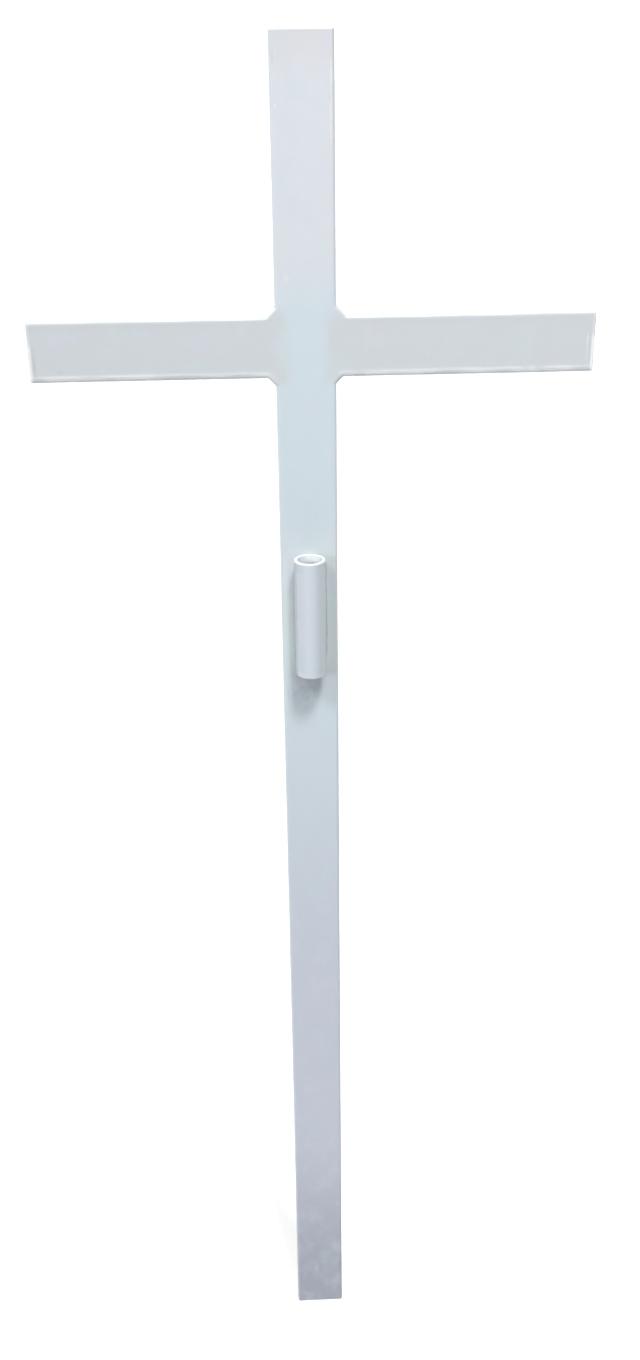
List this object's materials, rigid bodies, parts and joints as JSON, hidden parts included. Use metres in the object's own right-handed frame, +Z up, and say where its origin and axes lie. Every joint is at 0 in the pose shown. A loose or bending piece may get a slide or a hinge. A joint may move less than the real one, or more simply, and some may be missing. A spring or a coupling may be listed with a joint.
{
  "type": "grave cross",
  "caption": "White painted steel grave cross of flat bar with rounded edges, welded in the corners, and a short pipe on the front of the post to hold flowers.",
  "frame": {"origin": "middle of the post's cut foot, where the cross is set in the ground", "axes": "+Z up along the post, -Y towards the front, +X to the right as seen from the front"},
  "size_m": [0.463, 0.0404, 1.32],
  "materials": {
    "white_enamel": "glossy white enamel over steel"
  },
  "bodies": {
    "root": {"post": "white_enamel", "left_arm": "white_enamel", "right_arm": "white_enamel", "holder_tube": "white_enamel"}
  },
  "joints": []
}
